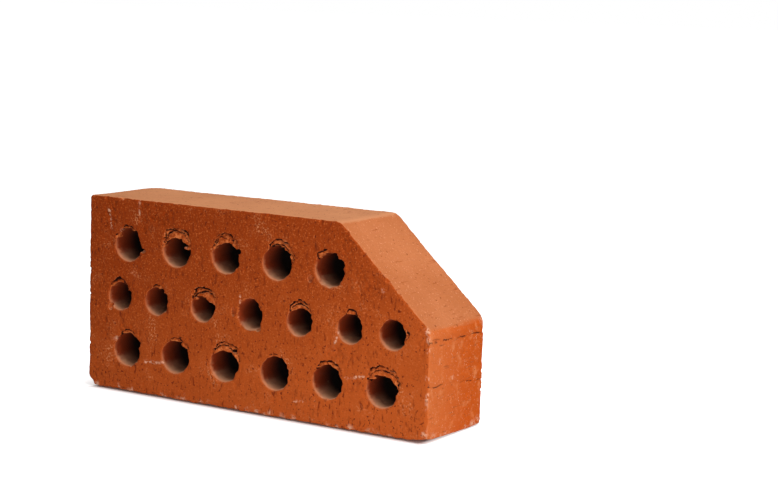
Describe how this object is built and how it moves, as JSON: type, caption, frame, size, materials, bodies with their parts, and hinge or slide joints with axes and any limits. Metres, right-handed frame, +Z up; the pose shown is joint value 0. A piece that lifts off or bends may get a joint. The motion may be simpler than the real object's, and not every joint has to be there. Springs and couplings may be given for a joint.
{
  "type": "cored clay brick",
  "caption": "Fired clay facing brick with rows of through cores and a corner cut off on a slant, standing on its long narrow face.",
  "frame": {"origin": "middle of the long narrow face that the brick stands on", "axes": "+X along the brick towards the slanted corner, +Y along the cores through its thickness, +Z up"},
  "size_m": [0.25, 0.063, 0.122],
  "materials": {
    "fired_clay": "matt, rough fired clay, unglazed"
  },
  "bodies": {
    "root": {"brick": "fired_clay"}
  },
  "joints": []
}
